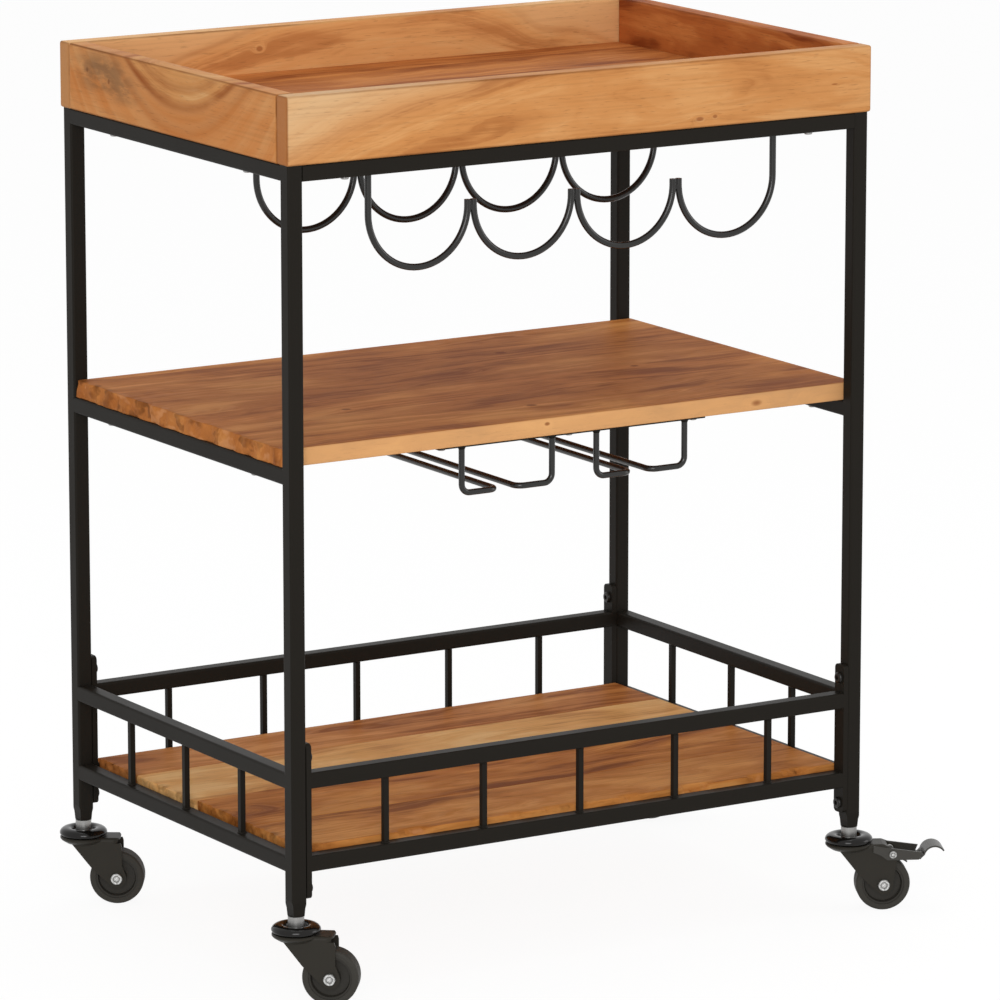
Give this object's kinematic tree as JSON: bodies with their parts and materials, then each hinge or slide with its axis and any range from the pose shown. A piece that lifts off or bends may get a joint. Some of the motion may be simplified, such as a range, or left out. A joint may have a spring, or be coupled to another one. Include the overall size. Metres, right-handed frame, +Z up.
{
  "type": "bar cart on wheels",
  "caption": "Bar cart on casters: black steel frame, wooden tray top, middle shelf, boarded bottom shelf with spindle rails, hanging bottle rack, stemware racks and wheel brakes",
  "frame": {"origin": "on the floor under the middle of the frame", "axes": "+X along the long side, to the right seen from the front; -Y the front, where the lower row of bottle rings hangs; +Z up"},
  "size_m": [0.6909, 0.4645, 0.8],
  "materials": {
    "frame_paint": "satin black powder coat",
    "tray_wood": "clear satin lacquer on hardwood",
    "shelf_wood": "brown stain and satin lacquer on hardwood",
    "caster_paint": "satin black coat on pressed steel",
    "caster_gloss": "glossy black enamel",
    "wheel_plastic": "moulded dark grey nylon",
    "tread": "moulded dark grey rubber",
    "zinc": "bright zinc plate",
    "black_fastener": "black oxide"
  },
  "bodies": {
    "cart": {"side_frame_left": "frame_paint", "side_frame_right": "frame_paint", "top_rail_front": "frame_paint", "top_rail_rear": "frame_paint", "corner_brackets": "frame_paint", "basket_panel_front": "frame_paint", "basket_panel_rear": "frame_paint", "leg_plugs": "frame_paint", "board_bearers": "frame_paint", "bottle_rack_front": "frame_paint", "bottle_rack_rear": "frame_paint", "glass_rack_left": "frame_paint", "glass_rack_right": "frame_paint", "glass_rack_strips": "frame_paint", "bracket_screws": "zinc", "rivet_nuts": "zinc", "tray_screws": "zinc", "middle_shelf_screws": "zinc", "bottom_board_screws": "zinc", "rack_screws": "zinc", "caster_stems": "zinc", "swivel_balls": "zinc", "basket_bolts": "black_fastener", "tray_front": "tray_wood", "tray_rear": "tray_wood", "tray_left": "tray_wood", "tray_right": "tray_wood", "tray_floor": "tray_wood", "middle_shelf": "shelf_wood", "bottom_board_1": "shelf_wood", "bottom_board_2": "shelf_wood", "bottom_board_3": "shelf_wood", "bottom_board_4": "shelf_wood", "caster_caps": "caster_gloss"},
    "swivel_front_left": {"fork_front_left": "caster_paint", "axle_front_left": "zinc", "bush_front_left": "zinc"},
    "wheel_front_left": {"hub_front_left": "wheel_plastic", "tyre_front_left": "tread"},
    "swivel_front_right": {"fork_front_right": "caster_paint", "axle_front_right": "zinc", "bush_front_right": "zinc"},
    "wheel_front_right": {"hub_front_right": "wheel_plastic", "tyre_front_right": "tread"},
    "swivel_rear_left": {"fork_rear_left": "caster_paint", "axle_rear_left": "zinc", "bush_rear_left": "zinc"},
    "wheel_rear_left": {"hub_rear_left": "wheel_plastic", "tyre_rear_left": "tread"},
    "swivel_rear_right": {"fork_rear_right": "caster_paint", "axle_rear_right": "zinc", "bush_rear_right": "zinc"},
    "wheel_rear_right": {"hub_rear_right": "wheel_plastic", "tyre_rear_right": "tread"},
    "brake_front_right": {"brake_lever_front_right": "caster_paint", "brake_pin_front_right": "zinc"},
    "brake_rear_right": {"brake_lever_rear_right": "caster_paint", "brake_pin_rear_right": "zinc"}
  },
  "joints": [
    {"name": "swivel_turn_front_left", "type": "hinge", "parent": "cart", "child": "swivel_front_left", "pos_m": [-0.29275, -0.19575, 0.06], "axis": [0, 0, 1], "continuous": true},
    {"name": "wheel_spin_front_left", "type": "hinge", "parent": "swivel_front_left", "child": "wheel_front_left", "pos_m": [-0.26832, -0.21484, 0.025], "axis": [0.6157, 0.788, 0], "continuous": true},
    {"name": "swivel_turn_front_right", "type": "hinge", "parent": "cart", "child": "swivel_front_right", "pos_m": [0.29275, -0.19575, 0.06], "axis": [0, 0, 1], "continuous": true},
    {"name": "wheel_spin_front_right", "type": "hinge", "parent": "swivel_front_right", "child": "wheel_front_right", "pos_m": [0.32037, -0.20982, 0.025], "axis": [0.454, 0.891, 0], "continuous": true},
    {"name": "swivel_turn_rear_left", "type": "hinge", "parent": "cart", "child": "swivel_rear_left", "pos_m": [-0.29275, 0.19575, 0.06], "axis": [0, 0, 1], "continuous": true},
    {"name": "wheel_spin_rear_left", "type": "hinge", "parent": "swivel_rear_left", "child": "wheel_rear_left", "pos_m": [-0.26675, 0.17887, 0.025], "axis": [0.5446, 0.8387, 0], "continuous": true},
    {"name": "swivel_turn_rear_right", "type": "hinge", "parent": "cart", "child": "swivel_rear_right", "pos_m": [0.29275, 0.19575, 0.06], "axis": [0, 0, 1], "continuous": true},
    {"name": "wheel_spin_rear_right", "type": "hinge", "parent": "swivel_rear_right", "child": "wheel_rear_right", "pos_m": [0.31904, 0.17932, 0.025], "axis": [0.5299, 0.848, 0], "continuous": true},
    {"name": "brake_press_front_right", "type": "hinge", "parent": "swivel_front_right", "child": "brake_front_right", "pos_m": [0.3275, -0.21346, 0.054], "axis": [0.454, 0.891, 0], "range_deg": [0, 12]},
    {"name": "brake_press_rear_right", "type": "hinge", "parent": "swivel_rear_right", "child": "brake_rear_right", "pos_m": [0.32582, 0.17508, 0.054], "axis": [0.5299, 0.848, 0], "range_deg": [0, 12]}
  ]
}
